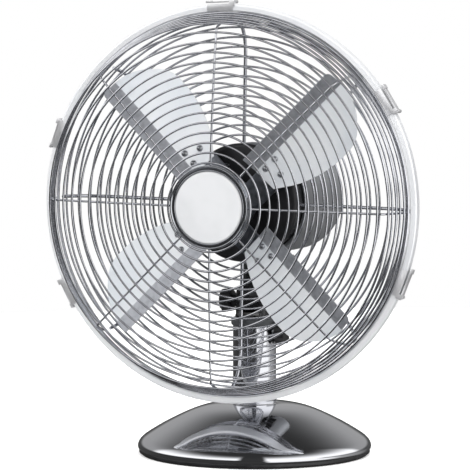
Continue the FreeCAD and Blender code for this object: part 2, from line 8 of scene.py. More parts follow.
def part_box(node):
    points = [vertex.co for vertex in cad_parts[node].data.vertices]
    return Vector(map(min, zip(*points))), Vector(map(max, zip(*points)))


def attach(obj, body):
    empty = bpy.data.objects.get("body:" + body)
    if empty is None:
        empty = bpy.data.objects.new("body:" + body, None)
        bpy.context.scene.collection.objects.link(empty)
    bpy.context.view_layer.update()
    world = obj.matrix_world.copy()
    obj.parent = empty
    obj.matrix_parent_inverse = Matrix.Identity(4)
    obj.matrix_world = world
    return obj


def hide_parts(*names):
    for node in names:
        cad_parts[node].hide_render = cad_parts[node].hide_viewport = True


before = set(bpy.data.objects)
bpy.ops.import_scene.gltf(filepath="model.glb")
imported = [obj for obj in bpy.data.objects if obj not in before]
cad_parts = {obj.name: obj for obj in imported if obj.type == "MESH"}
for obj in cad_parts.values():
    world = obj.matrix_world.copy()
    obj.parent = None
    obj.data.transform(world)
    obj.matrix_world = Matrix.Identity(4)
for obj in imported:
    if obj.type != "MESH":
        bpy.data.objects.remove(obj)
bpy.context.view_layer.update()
scene = bpy.context.scene
millimetre = 0.001
fullTurn = math.radians(360)
quarterTurn = math.radians(90)


def boxMiddle(node):
    low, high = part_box(node)
    return (low + high) / 2


headHeight = boxMiddle("rim_band").z
# in the head's own frame Z points forward along the shaft and Y points up
headPlace = Matrix.Translation((0, 0, headHeight)) @ Matrix.Rotation(quarterTurn, 4, "X")
standPlace = Matrix.Identity(4)


def arcTurn(start, middle, end):
    # centre of the circle through three spots in the XZ plane, and its turn about Y
    first, second = middle - start, end - start
    normal = first.cross(second)
    reach = (normal.cross(first) * second.length_squared
             + second.cross(normal) * first.length_squared)
    centre = start + reach / (2 * normal.length_squared)

    def heading(spot):
        return math.atan2(-(spot - centre).z, (spot - centre).x)

    turn = (heading(end) - heading(start)) % fullTurn
    if (heading(middle) - heading(start)) % fullTurn > turn:
        turn -= fullTurn
    return centre, turn


def drawLine(bm, points, arcSteps=8, closed=False):
    # runs and arcs in the XZ plane; a third item marks a spot half way along an arc
    first = last = bm.verts.new((points[0][0], 0, points[0][1]))
    middle = None
    for point in points[1:]:
        spot = Vector((point[0], 0, point[1]))
        if len(point) == 3:
            middle = spot
            continue
        if middle is None:
            fresh = bm.verts.new(spot)
            bm.edges.new((last, fresh))
            last = fresh
        else:
            centre, turn = arcTurn(last.co.copy(), middle, spot)
            made = bmesh.ops.spin(bm, geom=[last], cent=centre, axis=(0, 1, 0), angle=turn,
                                  steps=arcSteps)
            last = made["geom_last"][0]
        middle = None
    if closed:
        bm.edges.new((last, first))


def spinRound(bm, outline, steps):
    bmesh.ops.spin(bm, geom=outline, axis=(0, 0, 1), angle=fullTurn, steps=steps, use_merge=True)


def turned(points, steps=96, arcSteps=8, closed=True):
    bm = bmesh.new()
    drawLine(bm, points, arcSteps, closed)
    spinRound(bm, bm.verts[:] + bm.edges[:], steps)
    return bm


def vertsIn(items):
    return [item for item in items if isinstance(item, bmesh.types.BMVert)]


def edgesIn(items):
    return [item for item in items if isinstance(item, bmesh.types.BMEdge)]


def wireSection(bm, wire, sides, place, capped=False):
    # the round end of a wire: its points and its edges
    verts = bmesh.ops.create_circle(bm, cap_ends=capped, segments=sides, radius=wire,
                                    matrix=place)["verts"]
    return verts, list({edge for vert in verts for edge in vert.link_edges})


def wireRings(hoops, steps=144, sides=10):
    # closed hoops of round wire, each one (radius, depth, the wire's own radius)
    bm = bmesh.new()
    for radius, depth, wire in hoops:
        place = Matrix.Translation((radius, 0, depth)) @ Matrix.Rotation(quarterTurn, 4, "X")
        verts, edges = wireSection(bm, wire, sides, place)
        spinRound(bm, verts + edges, steps)
    return bm


def bentWire(start, slope, moves, wire, sides=12):
    # one rod in the XZ plane: a move is ("run", length) or ("bend", radius, degrees, steps),
    # and a bend is downwards when its degrees are positive
    bm = bmesh.new()
    heading = math.radians(slope)
    at = Vector((start[0], 0, start[1]))
    place = Matrix.Translation(at) @ Matrix.Rotation(quarterTurn + heading, 4, "Y")
    rim = wireSection(bm, wire, sides, place, capped=True)[1]
    for move in moves:
        ahead = Vector((math.cos(heading), 0, -math.sin(heading)))
        if move[0] == "run":
            made = bmesh.ops.extrude_edge_only(bm, edges=rim)["geom"]
            verts = vertsIn(made)
            bmesh.ops.translate(bm, verts=verts, vec=ahead * move[1])
            at = at + ahead * move[1]
            rim = [edge for edge in edgesIn(made) if all(vert in verts for vert in edge.verts)]
        else:
            turn = math.radians(move[2])
            side = Vector((-math.sin(heading), 0, -math.cos(heading))) * math.copysign(1, turn)
            centre = at + side * move[1]
            made = bmesh.ops.spin(bm, geom=rim, cent=centre, axis=(0, 1, 0), angle=turn,
                                  steps=move[3])
            rim = edgesIn(made["geom_last"])
            at = centre + Matrix.Rotation(turn, 3, "Y") @ (at - centre)
            heading += turn
    bmesh.ops.holes_fill(bm, edges=rim)
    return bm


def repeatRound(bm, count, start=0):
    # copies of everything made so far, evenly round Z
    bmesh.ops.rotate(bm, verts=bm.verts, matrix=Matrix.Rotation(math.radians(start), 3, "Z"))
    source = bm.verts[:] + bm.edges[:] + bm.faces[:]
    for number in range(1, count):
        copied = bmesh.ops.duplicate(bm, geom=source)["geom"]
        bmesh.ops.rotate(bm, verts=vertsIn(copied),
                         matrix=Matrix.Rotation(fullTurn * number / count, 3, "Z"))
    return bm


def softenEdges(bm, width, overAngle=35, segments=2):
    limit = math.radians(overAngle)
    sharp = [edge for edge in bm.edges if edge.is_manifold and edge.calc_face_angle(0) > limit]
    if sharp:
        bmesh.ops.bevel(bm, geom=sharp, offset=width, offset_type="OFFSET", affect="EDGES",
                        segments=segments, profile=0.5, material=-1, clamp_overlap=True)


def cadCopy(node):
    # a node's own shape as a joined-up bmesh in millimetres, for finer edges and a smooth finish
    bm = bmesh.new()
    bm.from_mesh(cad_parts[node].data)
    bmesh.ops.scale(bm, verts=bm.verts, vec=(1 / millimetre,) * 3)
    bmesh.ops.remove_doubles(bm, verts=bm.verts, dist=0.002)
    return bm


def finishPiece(bm, name, body, material, replaced=(), place=standPlace,
                smoothUnder=25, tidy=True):
    # tidy is for a shape made here; a copy of a node is merged already
    if tidy:
        bmesh.ops.remove_doubles(bm, verts=bm.verts, dist=0.0005)
        bmesh.ops.recalc_face_normals(bm, faces=bm.faces)
    bmesh.ops.transform(bm, matrix=place @ Matrix.Scale(millimetre, 4), verts=bm.verts)
    mesh = bpy.data.meshes.new(name)
    bm.to_mesh(mesh)
    bm.free()
    mesh.materials.append(material)
    mesh.shade_smooth()
    mesh.set_sharp_from_angle(angle=math.radians(smoothUnder))
    piece = bpy.data.objects.new(name, mesh)
    scene.collection.objects.link(piece)
    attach(piece, body)
    if replaced:
        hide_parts(*replaced)
    return piece


def linearColour(hexText):
    # sRGB hex to linear light
    parts = [int(hexText[place:place + 2], 16) / 255 for place in (1, 3, 5)]
    linear = [part / 12.92 if part <= 0.04045 else ((part + 0.055) / 1.055) ** 2.4
              for part in parts]
    return linear + [1]


def addNode(tree, kind, settings=None, links=None):
    node = tree.nodes.new(kind)
    for key, value in (settings or {}).items():
        if isinstance(key, str) and hasattr(node, key):
            setattr(node, key, value)
        else:
            node.inputs[key].default_value = value
    for key, source in (links or {}).items():
        tree.links.new(source, node.inputs[key])
    return node


def makeFinish(name, look):
    # one principled shader; each pattern, noise unless it says otherwise, has a size in
    # millimetres and something that it drives. A wave repeats every 0.314 of its size
    material = bpy.data.materials.new(name)
    material.use_nodes = True
    tree = material.node_tree
    tree.nodes.clear()
    shader = addNode(tree, "ShaderNodeBsdfPrincipled",
                     {"Base Color": linearColour(look["colour"]), **look["shader"]})
    addNode(tree, "ShaderNodeOutputMaterial", links={"Surface": shader.outputs["BSDF"]})
    spot = addNode(tree, "ShaderNodeTexCoord").outputs["Object"]
    bump = None
    for pattern in look["patterns"]:
        size = pattern["size"] * millimetre
        stretch = pattern.get("stretch", (1, 1, 1))
        centre = Vector(pattern.get("centre", (0, 0, 0)))
        scale = Vector([1 / (size * part) for part in stretch])
        placed = addNode(tree, "ShaderNodeMapping", {"Location": -centre * scale, "Scale": scale},
                         {"Vector": spot})
        texture = addNode(tree, pattern.get("texture", "ShaderNodeTexNoise"),
                          {"Scale": 1, **pattern.get("settings", {})},
                          {"Vector": placed.outputs["Vector"]})
        value = texture.outputs[pattern.get("output", 0)]
        if pattern["drives"] == "bump":
            settings = {"Strength": pattern["strength"],
                        "Distance": pattern["depth"] * millimetre}
            links = {"Height": value}
            if bump:
                links["Normal"] = bump.outputs["Normal"]
            bump = addNode(tree, "ShaderNodeBump", settings, links)
            continue
        low, high = pattern.get("from", (0.35, 0.65))
        if pattern["drives"] == "colour":
            spread = addNode(tree, "ShaderNodeMapRange", {"From Min": low, "From Max": high},
                             {"Value": value})
            mixed = addNode(tree, "ShaderNodeMix",
                            {"data_type": "RGBA", 7: linearColour(pattern["colour"])},
                            {0: spread.outputs["Result"]})
            before = shader.inputs["Base Color"]
            if before.links:
                tree.links.new(before.links[0].from_socket, mixed.inputs[6])
            else:
                mixed.inputs[6].default_value = before.default_value
            tree.links.new(mixed.outputs[2], before)
        else:
            spread = addNode(tree, "ShaderNodeMapRange",
                             {"From Min": low, "From Max": high,
                              "To Min": pattern["low"], "To Max": pattern["high"]},
                             {"Value": value})
            tree.links.new(spread.outputs["Result"], shader.inputs[pattern["drives"]])
    if bump:
        tree.links.new(bump.outputs["Normal"], shader.inputs["Normal"])
    return material


# polished chrome plate over nickel: a mirror with a faint haze left by buffing
polishedChrome = makeFinish("polishedChrome", {
    "colour": "#D6D7DB",
    "shader": {"Metallic": 1, "Roughness": 0.05},
    "patterns": [
        {"size": 30, "drives": "Roughness", "low": 0.035, "high": 0.075,
         "settings": {"Detail": 3}},
        {"size": 26, "drives": "bump", "strength": 0.25, "depth": 0.03},
    ]})

# chrome-plated steel wire, drawn then plated: bright, a little softer than polished sheet
platedWire = makeFinish("platedWire", {
    "colour": "#E3E4E9",
    "shader": {"Metallic": 1, "Roughness": 0.12},
    "patterns": [
        {"size": 9, "drives": "Roughness", "low": 0.07, "high": 0.14,
         "settings": {"Detail": 4}},
        {"size": 14, "drives": "colour", "colour": "#C2C4CA", "from": (0.45, 0.7)},
        {"size": 0.8, "drives": "bump", "strength": 0.15, "depth": 0.01},
    ]})

# deep-drawn steel can in grey metallic paint: rings from drawing run round the shaft's line
drawnCan = makeFinish("drawnCan", {
    "colour": "#929498",
    "shader": {"Metallic": 0.65, "Roughness": 0.32},
    "patterns": [
        {"size": 1.6, "stretch": (40, 1, 40), "drives": "Roughness",
         "low": 0.29, "high": 0.35, "settings": {"Detail": 2}},
        {"size": 2.4, "stretch": (40, 1, 40), "drives": "bump",
         "strength": 0.05, "depth": 0.02},
    ]})

# silver lacquer on rolled sheet: a pale satin with fine flake and slow cloudy tone
silverLacquer = makeFinish("silverLacquer", {
    "colour": "#DDDFE2",
    "shader": {"Metallic": 0.35, "Roughness": 0.4, "IOR": 1.5},
    "patterns": [
        {"size": 60, "drives": "colour", "colour": "#D3D7DC", "from": (0.4, 0.62)},
        {"size": 2, "drives": "Roughness", "low": 0.36, "high": 0.46,
         "settings": {"Detail": 3}},
        {"texture": "ShaderNodeTexVoronoi", "size": 0.6, "drives": "bump",
         "strength": 0.1, "depth": 0.01},
    ]})

# the blades' folded lip: a darker steel colour than the lacquer, as painted shade where the lip's
# slope faces the dark side of the room; metallic, with fine roughness and bump noise
lipPaintedShade = makeFinish("lipPaintedShade", {
    "colour": "#B2B4BA",
    "shader": {"Metallic": 0.75, "Roughness": 0.36},
    "patterns": [
        {"size": 5, "drives": "colour", "colour": "#A2A4AA", "from": (0.42, 0.64)},
        {"size": 0.6, "drives": "Roughness", "low": 0.3, "high": 0.44},
        {"size": 0.5, "drives": "bump", "strength": 0.2, "depth": 0.02},
    ]})

# pearl lacquer over the pressed rim: nearly white, with a satin shine
pearlLacquer = makeFinish("pearlLacquer", {
    "colour": "#ECEDEF",
    "shader": {"Metallic": 0.5, "Roughness": 0.34, "IOR": 1.5},
    "patterns": [
        {"size": 40, "drives": "Roughness", "low": 0.3, "high": 0.38},
        {"size": 50, "drives": "colour", "colour": "#E4E6E9", "from": (0.4, 0.65)},
    ]})

# zinc-plated pressed steel: grey with a soft spangle
zincSteel = makeFinish("zincSteel", {
    "colour": "#7E8187",
    "shader": {"Metallic": 1, "Roughness": 0.34},
    "patterns": [
        {"texture": "ShaderNodeTexVoronoi", "size": 4, "output": "Color",
         "drives": "colour", "colour": "#686B71", "from": (0.2, 0.8)},
        {"size": 5, "drives": "Roughness", "low": 0.28, "high": 0.44},
        {"size": 0.7, "drives": "bump", "strength": 0.2, "depth": 0.02},
    ]})

# bright zinc screws and rods, turned from bar
turnedSteel = makeFinish("turnedSteel", {
    "colour": "#B4B6BA",
    "shader": {"Metallic": 1, "Roughness": 0.24},
    "patterns": [
        {"size": 2.5, "drives": "Roughness", "low": 0.18, "high": 0.34},
        {"size": 0.5, "drives": "bump", "strength": 0.2, "depth": 0.01},
    ]})

# black enamel over a zinc die casting: glossy, with the casting's slight orange peel
blackEnamel = makeFinish("blackEnamel", {
    "colour": "#111214",
    "shader": {"Metallic": 0, "Roughness": 0.26, "IOR": 1.5,
               "Coat Weight": 0.5, "Coat Roughness": 0.12},
    "patterns": [
        {"size": 1.6, "drives": "bump", "strength": 0.25, "depth": 0.03},
        {"size": 12, "drives": "Roughness", "low": 0.2, "high": 0.34},
    ]})

# black ABS, moulded in a spark-eroded tool: fine even grain
mouldedBlack = makeFinish("mouldedBlack", {
    "colour": "#141416",
    "shader": {"Metallic": 0, "Roughness": 0.4, "IOR": 1.54},
    "patterns": [
        {"texture": "ShaderNodeTexVoronoi", "size": 0.5, "drives": "bump",
         "strength": 0.18, "depth": 0.03},
        {"size": 9, "drives": "Roughness", "low": 0.34, "high": 0.48},
        {"size": 16, "drives": "colour", "colour": "#1D1D20", "from": (0.45, 0.7)},
    ]})

# dark grey ABS for the collar
mouldedGrey = makeFinish("mouldedGrey", {
    "colour": "#3E4043",
    "shader": {"Metallic": 0, "Roughness": 0.38, "IOR": 1.54},
    "patterns": [
        {"texture": "ShaderNodeTexVoronoi", "size": 0.5, "drives": "bump",
         "strength": 0.18, "depth": 0.03},
        {"size": 9, "drives": "Roughness", "low": 0.32, "high": 0.46},
    ]})

# badge: white enamel baked on a domed disc, smooth with a trace of orange peel
whiteEnamel = makeFinish("whiteEnamel", {
    "colour": "#B4B5B7",
    "shader": {"Metallic": 0, "Roughness": 0.36, "IOR": 1.5,
               "Coat Weight": 0.3, "Coat Roughness": 0.12},
    "patterns": [
        {"size": 24, "drives": "colour", "colour": "#AEAFB1", "from": (0.4, 0.65)},
        {"size": 1.4, "drives": "bump", "strength": 0.08, "depth": 0.02},
        {"size": 8, "drives": "Roughness", "low": 0.3, "high": 0.4},
    ]})

# bezel: black nickel over polished brass, darker than chrome but still a mirror
blackNickel = makeFinish("blackNickel", {
    "colour": "#B4B6BB",
    "shader": {"Metallic": 1, "Roughness": 0.08},
    "patterns": [
        {"size": 10, "drives": "Roughness", "low": 0.06, "high": 0.11},
        {"size": 6, "drives": "bump", "strength": 0.1, "depth": 0.02},
    ]})

# satin nickel plate on the sprung rim clips: silvery, with the dull sheen of barrel plating
satinNickel = makeFinish("satinNickel", {
    "colour": "#DCDCDE",
    "shader": {"Metallic": 0.75, "Roughness": 0.36},
    "patterns": [
        {"size": 3, "drives": "Roughness", "low": 0.28, "high": 0.42},
        {"size": 0.7, "drives": "bump", "strength": 0.15, "depth": 0.01},
    ]})

# soft rubber pad under the base: matt, with dust in its grain
mattRubber = makeFinish("mattRubber", {
    "colour": "#1A1A1A",
    "shader": {"Metallic": 0, "Roughness": 0.85, "IOR": 1.52},
    "patterns": [
        {"size": 0.8, "drives": "bump", "strength": 0.4, "depth": 0.06},
        {"size": 7, "drives": "colour", "colour": "#29292A", "from": (0.45, 0.7)},
    ]})

# grey iron ballast, sand cast: coarse grain
castIron = makeFinish("castIron", {
    "colour": "#3C3B3A",
    "shader": {"Metallic": 0.6, "Roughness": 0.7},
    "patterns": [
        {"size": 1.5, "drives": "bump", "strength": 0.6, "depth": 0.2},
        {"size": 12, "drives": "colour", "colour": "#56493F", "from": (0.52, 0.7)},
    ]})

# die-cast aluminium: dull silver with flow marks
castAluminium = makeFinish("castAluminium", {
    "colour": "#A9ABAE",
    "shader": {"Metallic": 1, "Roughness": 0.45},
    "patterns": [
        {"size": 1.1, "drives": "bump", "strength": 0.35, "depth": 0.05},
        {"size": 15, "drives": "colour", "colour": "#8F9194", "from": (0.42, 0.66)},
    ]})

# stacked electrical steel: half-millimetre sheets seen edge on, drawn 2 mm apart to show
stackedSteel = makeFinish("stackedSteel", {
    "colour": "#6A6C70",
    "shader": {"Metallic": 0.9, "Roughness": 0.42},
    "patterns": [
        {"texture": "ShaderNodeTexWave", "size": 6.3, "settings": {"bands_direction": "Y"},
         "drives": "colour", "colour": "#37393C", "from": (0.1, 0.9)},
        {"texture": "ShaderNodeTexWave", "size": 6.3, "settings": {"bands_direction": "Y"},
         "drives": "bump", "strength": 0.4, "depth": 0.1},
    ]})

# enamelled copper windings: 0.6 mm wire laid round the shaft, drawn 1.2 mm apart to show,
# with a varnish sheen
enamelledCopper = makeFinish("enamelledCopper", {
    "colour": "#A8552B",
    "shader": {"Metallic": 0.9, "Roughness": 0.3, "Coat Weight": 0.4, "Coat Roughness": 0.2},
    "patterns": [
        {"texture": "ShaderNodeTexWave", "size": 3.8, "centre": (0, 0, headHeight),
         "settings": {"wave_type": "RINGS", "rings_direction": "Y"},
         "drives": "bump", "strength": 0.6, "depth": 0.2},
        {"size": 9, "drives": "colour", "colour": "#7E3D1E", "from": (0.45, 0.65)},
    ]})

# sintered bronze: open pores hold the oil
sinteredBronze = makeFinish("sinteredBronze", {
    "colour": "#9C7440",
    "shader": {"Metallic": 1, "Roughness": 0.4},
    "patterns": [
        {"texture": "ShaderNodeTexVoronoi", "size": 0.6, "drives": "bump",
         "strength": 0.3, "depth": 0.04},
        {"size": 2, "drives": "colour", "colour": "#6E5230", "from": (0.5, 0.7)},
    ]})

# natural nylon gears: creamy and slightly waxy
mouldedNylon = makeFinish("mouldedNylon", {
    "colour": "#E2DCC8",
    "shader": {"Metallic": 0, "Roughness": 0.42, "IOR": 1.53,
               "Subsurface Weight": 0.15, "Subsurface Scale": 0.002},
    "patterns": [
        {"size": 3, "drives": "Roughness", "low": 0.36, "high": 0.5},
        {"size": 1, "drives": "bump", "strength": 0.1, "depth": 0.02},
    ]})

print("finishes made")


baseDome = {
    # outer side from the column down to the rolled lip, then the inner side back up
    "outer": [(17, 45.35), (27, 45.3), (39, 44), (50.4, 41.2), (61.2, 36.9), (72.6, 31.4),
              (84.8, 25), (95.2, 18.5), (100.6, 14.9), (103.4, 11.9), (104.9, 9), (105.1, 6.6),
              (104.6, 4.7), (103.6, 4.3)],
    "inner": [(102.6, 4.8), (102.9, 8.4), (100, 12.7), (94, 17), (83.8, 23.4), (71.8, 29.8),
              (60.4, 35.2), (50, 39.4), (39, 42.2), (17, 43.6)],
    "levels": 2, "smoothUnder": 80,
}
domePiece = finishPiece(turned(baseDome["outer"] + baseDome["inner"]), "baseDome", "base",
                        polishedChrome, ["base_shell"],
                        smoothUnder=baseDome["smoothUnder"])
rounding = domePiece.modifiers.new("rounding", "SUBSURF")
rounding.levels = rounding.render_levels = baseDome["levels"]

column = {"radius": 19.4, "wall": 1.6, "foot": 45.2, "top": 115, "footFlare": 0.5,
          "innerFoot": 57, "boltHole": 5}
columnProfile = [
    (column["boltHole"], column["foot"]),
    (column["radius"] + column["footFlare"], column["foot"]),
    (column["radius"] + 0.1, column["foot"] + 0.4, "arc"), (column["radius"], column["foot"] + 1.2),
    (column["radius"], column["top"] - 0.5), (column["radius"] - 0.15, column["top"] - 0.15, "arc"),
    (column["radius"] - 0.5, column["top"]), (column["radius"] - column["wall"], column["top"]),
    (column["radius"] - column["wall"], column["innerFoot"]),
    (column["boltHole"], column["innerFoot"]),
]
finishPiece(turned(columnProfile), "columnTube", "base", polishedChrome, ["column_tube"])

collar = {"bore": 16.55, "radius": 19.4, "flange": 21, "low": 115.1, "high": 122.5}
collarProfile = [
    (collar["bore"], collar["low"]), (collar["radius"], collar["low"]),
    (collar["flange"] - 0.3, collar["low"] + 1),
    (collar["flange"], collar["low"] + 1.6, "arc"), (collar["flange"], collar["low"] + 2.4),
    (collar["flange"], collar["high"] - 2.6), (collar["flange"] - 0.7, collar["high"] - 0.7, "arc"),
    (collar["flange"] - 2.6, collar["high"]), (collar["bore"] + 0.5, collar["high"]),
    (collar["bore"], collar["high"] - 0.5),
]
finishPiece(turned(collarProfile), "columnCollar", "base", mouldedGrey,
            ["column_collar"])

post = {"radius": 16.5, "wall": 1.6, "foot": 58, "top": 122.5, "edge": 0.4}
postProfile = [
    (post["radius"] - post["wall"], post["foot"]), (post["radius"] - post["edge"], post["foot"]),
    (post["radius"], post["foot"] + post["edge"]), (post["radius"], post["top"] - post["edge"]),
    (post["radius"] - post["edge"], post["top"]), (post["radius"] - post["wall"], post["top"]),
]
finishPiece(turned(postProfile), "innerPost", "mast", polishedChrome, ["inner_post"])
print("base and column made")


# castings, knobs and motor parts keep their own shape and get finished edges
def dressNode(piece, node, body, finish, slotName, edgeWidth, smoothUnder=30):
    shape = cadCopy(node)
    softenEdges(shape, edgeWidth)
    finishPiece(shape, piece, body, finish, [node], smoothUnder=smoothUnder, tidy=False)


dressedParts = [
    # piece, node, body, finish, slot, edge width
    ("baseTray", "base_tray", "base", mouldedBlack, "black_plastic", 0.4),
    ("cordGland", "cord_gland", "base", mouldedBlack, "black_plastic", 0.4),
    ("tiltYoke", "tilt_yoke", "mast", blackEnamel, "black_casting", 0.7),
    ("tiltBolt", "tilt_bolt", "mast", turnedSteel, "steel", 0.2),
    ("neckCasting", "neck_casting", "neck", blackEnamel, "black_casting", 0.8),
    ("linkArm", "link_arm", "link", turnedSteel, "steel", 0.4),
    ("pivotPin", "pivot_pin", "head", turnedSteel, "steel", 0.4),
    ("tiltKnob", "tilt_knob", "tilt_knob", mouldedBlack, "black_plastic", 0.25),
    ("heightKnob", "height_knob", "height_knob", mouldedBlack, "black_plastic", 0.5),
    ("speedKnob", "speed_knob", "speed_control", mouldedBlack, "black_plastic", 0.2),
    ("clutchKnob", "clutch_knob", "clutch", mouldedBlack, "black_plastic", 0.2),
    ("motorFrontShield", "front_shield", "head", blackEnamel, "black_casting", 0.4),
    ("motorHousing", "motor_housing", "head", drawnCan, "motor_chrome", 0.25),
    ("rearPlate", "rear_plate", "head", mouldedBlack, "black_plastic", 0.4),
    ("bladeSpider", "blade_spider", "rotor", zincSteel, "spider_metal", 0.4),
    ("gearboxCase", "gearbox_case", "head", castAluminium, "cast_aluminium", 0.8),
]
for part in dressedParts:
    dressNode(*part)

plainFinishes = {
    "base_pad": mattRubber, "ballast_weight": castIron, "base_screws": turnedSteel,
    "run_capacitor": mouldedBlack, "tie_bolt": turnedSteel, "clamp_bush": turnedSteel,
    "height_knob_stud": turnedSteel, "pivot_bush": sinteredBronze, "link_pin": turnedSteel,
    "stator_core": stackedSteel, "stator_windings": enamelledCopper,
    "shaft_bearings": sinteredBronze, "rear_shield": castAluminium,
    "speed_switch": mouldedBlack, "idler_gear": mouldedNylon, "output_gear": mouldedNylon,
    "crank": turnedSteel, "motor_shaft": turnedSteel, "rotor_core": stackedSteel,
    "worm": turnedSteel, "blade_rivets": turnedSteel, "cage_screws": turnedSteel,
}
for node, finish in plainFinishes.items():
    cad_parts[node].material_slots[0].material = finish
print("castings and small parts finished")


# the wire cage, in the head's own frame
frontCage = {
    "wire": 0.95, "rings": 14, "firstRadius": 38.5, "pitch": 8.63, "front": 106.5, "crown": 1380,
    "wallWire": 1, "wallTop": (158.5, 92), "wallFoot": (167.4, 66.5), "wallRings": 5,
    "footWire": 1.3, "ribs": 8, "turn": -1, "ribStart": 36.6, "ribBendAt": 151, "ribBend": 6.2,
    "ribWire": 0.95, "ribInset": 1.95, "ribRun": 26.3,
}


def finishWires(shape, piece, node, smoothUnder):
    finishPiece(shape, piece, "head", platedWire, [node], headPlace, smoothUnder)


def finishRings(hoops, piece, node):
    finishWires(wireRings(hoops), piece, node, 80)


def finishRibs(rib, piece, node):
    finishWires(repeatRound(rib, frontCage["ribs"], frontCage["turn"]), piece, node, 60)


faceHoops = []
for step in range(frontCage["rings"]):
    radius = frontCage["firstRadius"] + frontCage["pitch"] * step
    depth = frontCage["front"] - radius ** 2 / (2 * frontCage["crown"])
    faceHoops.append((radius, depth, frontCage["wire"]))
finishRings(faceHoops, "frontFaceRings", "front_face_rings")

wallTop, wallFoot = Vector(frontCage["wallTop"]), Vector(frontCage["wallFoot"])
wallHoops = [(*wallTop.lerp(wallFoot, step / frontCage["wallRings"]), frontCage["wallWire"])
             for step in range(frontCage["wallRings"])]
wallHoops.append((*wallFoot, frontCage["footWire"]))
finishRings(wallHoops, "frontWallRings", "front_wall_rings")

crownHeart = frontCage["front"] - frontCage["ribInset"] - frontCage["crown"]
slopeIn = math.asin(frontCage["ribStart"] / frontCage["crown"])
slopeOut = math.asin(frontCage["ribBendAt"] / frontCage["crown"])
wallSlope = math.atan2(wallTop.y - wallFoot.y, wallFoot.x - wallTop.x)
ribStart = (frontCage["ribStart"], crownHeart + frontCage["crown"] * math.cos(slopeIn))
ribMoves = [("bend", frontCage["crown"], math.degrees(slopeOut - slopeIn), 12),
            ("bend", frontCage["ribBend"], math.degrees(wallSlope - slopeOut), 10),
            ("run", frontCage["ribRun"])]
frontRib = bentWire(ribStart, math.degrees(slopeIn), ribMoves, frontCage["ribWire"])
finishRibs(frontRib, "frontRibs", "front_ribs")

rearCage = {
    "wire": 0.95, "ribWire": 1.5, "rings": 12, "firstRadius": 60, "plane": 27.5, "flat": 132,
    "bend": 34, "bendTurn": -74, "ribFrom": 44, "footRing": (167.4, 56.5), "footWire": 1.3,
    "touch": 0.05, "sideAngles": (59, 70.5),
}
# the rings lie on the ribs' inner side, so they follow the same bend on a smaller radius
rearInset = rearCage["wire"] + rearCage["ribWire"] + rearCage["touch"]
innerBend = rearCage["bend"] - rearInset
bendHeart = rearCage["plane"] + rearCage["bend"]
rearHoops = []
for step in range(rearCage["rings"]):
    radius = rearCage["firstRadius"] + frontCage["pitch"] * step
    across = max(radius - rearCage["flat"], 0)
    depth = bendHeart - math.sqrt(innerBend ** 2 - across ** 2)
    rearHoops.append((radius, depth, rearCage["wire"]))
for angle in rearCage["sideAngles"]:
    turn = math.radians(angle)
    rearHoops.append((rearCage["flat"] + innerBend * math.sin(turn),
                      bendHeart - innerBend * math.cos(turn), rearCage["wire"]))
rearHoops.append((*rearCage["footRing"], rearCage["footWire"]))
finishRings(rearHoops, "rearRings", "rear_rings")

rearMoves = [("run", rearCage["flat"] - rearCage["ribFrom"]),
             ("bend", rearCage["bend"], rearCage["bendTurn"], 16)]
rearRib = bentWire((rearCage["ribFrom"], rearCage["plane"]), 0, rearMoves, rearCage["ribWire"])
finishRibs(rearRib, "rearRibs", "rear_ribs")

rim = {"inner": 168.9, "outer": 175, "low": 57, "high": 66, "lip": 0.8, "corner": 2, "steps": 192}
rimProfile = [
    (rim["inner"], rim["low"] + rim["lip"]), (rim["inner"] + rim["lip"], rim["low"]),
    (rim["outer"] - rim["corner"], rim["low"]), (rim["outer"] - 0.5, rim["low"] + 0.5, "arc"),
    (rim["outer"], rim["low"] + rim["corner"]), (rim["outer"], rim["high"] - rim["corner"]),
    (rim["outer"] - 0.5, rim["high"] - 0.5, "arc"), (rim["outer"] - rim["corner"], rim["high"]),
    (rim["inner"] + rim["lip"], rim["high"]), (rim["inner"], rim["high"] - rim["lip"]),
]
finishPiece(turned(rimProfile, steps=rim["steps"]), "rimBand", "head", pearlLacquer,
            ["rim_band"], headPlace)

badge = {
    "radius": 31.2, "back": 102.3, "edge": 107, "crownHeight": 109,
    "bezel": 36.5, "bezelBore": 31.3, "bezelBack": 102.2, "bezelWaist": 105, "bezelTop": 108,
    "bezelCrest": 108.6, "groove": 107.2,
}
bezelProfile = [
    (badge["bezelBore"], badge["bezelBack"]), (badge["bezel"] - 0.4, badge["bezelBack"]),
    (badge["bezel"], badge["bezelWaist"]), (badge["bezel"] - 0.4, badge["bezelTop"]),
    (badge["bezel"] - 1, badge["bezelCrest"], "arc"),
    (badge["bezel"] - 1.8, badge["bezelCrest"] - 0.3), (badge["bezel"] - 2.6, badge["groove"]),
    (badge["bezelBore"] + 1.5, badge["groove"]),
    (badge["bezelBore"] + 0.8, badge["bezelTop"], "arc"),
    (badge["bezelBore"], badge["groove"] + 0.4),
]
finishPiece(turned(bezelProfile), "badgeBezel", "head", blackNickel, ["badge_bezel"],
            headPlace)
discProfile = [
    (0, badge["back"]), (badge["radius"], badge["back"]), (badge["radius"], badge["edge"]),
    (badge["radius"] - 0.5, badge["edge"] + 0.9, "arc"),
    (badge["radius"] - 1.6, badge["edge"] + 1.4),
    (badge["radius"] / 2, badge["crownHeight"] - 0.1, "arc"), (0, badge["crownHeight"]),
]
finishPiece(turned(discProfile, closed=False), "badgeDisc", "head", whiteEnamel,
            ["badge_disc"], headPlace)
print("cage made")


# the blades, in the head's own frame
blade = {
    "count": 4, "turn": 44.4, "thickness": 1.2, "edge": 0.3, "smoothUnder": 20,
    "fold": 64.2, "foldAt": 2.2, "foldHalf": 1.4, "faceSlope": 11, "lipSlope": 25,
    "plan": [(40, -19), (40, 16.4), (145, 16.4), (149, 15, "arc"), (150.1, 11.6), (150.4, 2),
             (145.6, -16.5, "arc"), (135, -30.5), (125, -38.8, "arc"), (112, -42),
             (81.3, -39.1, "arc"), (55.5, -29.2)],
}


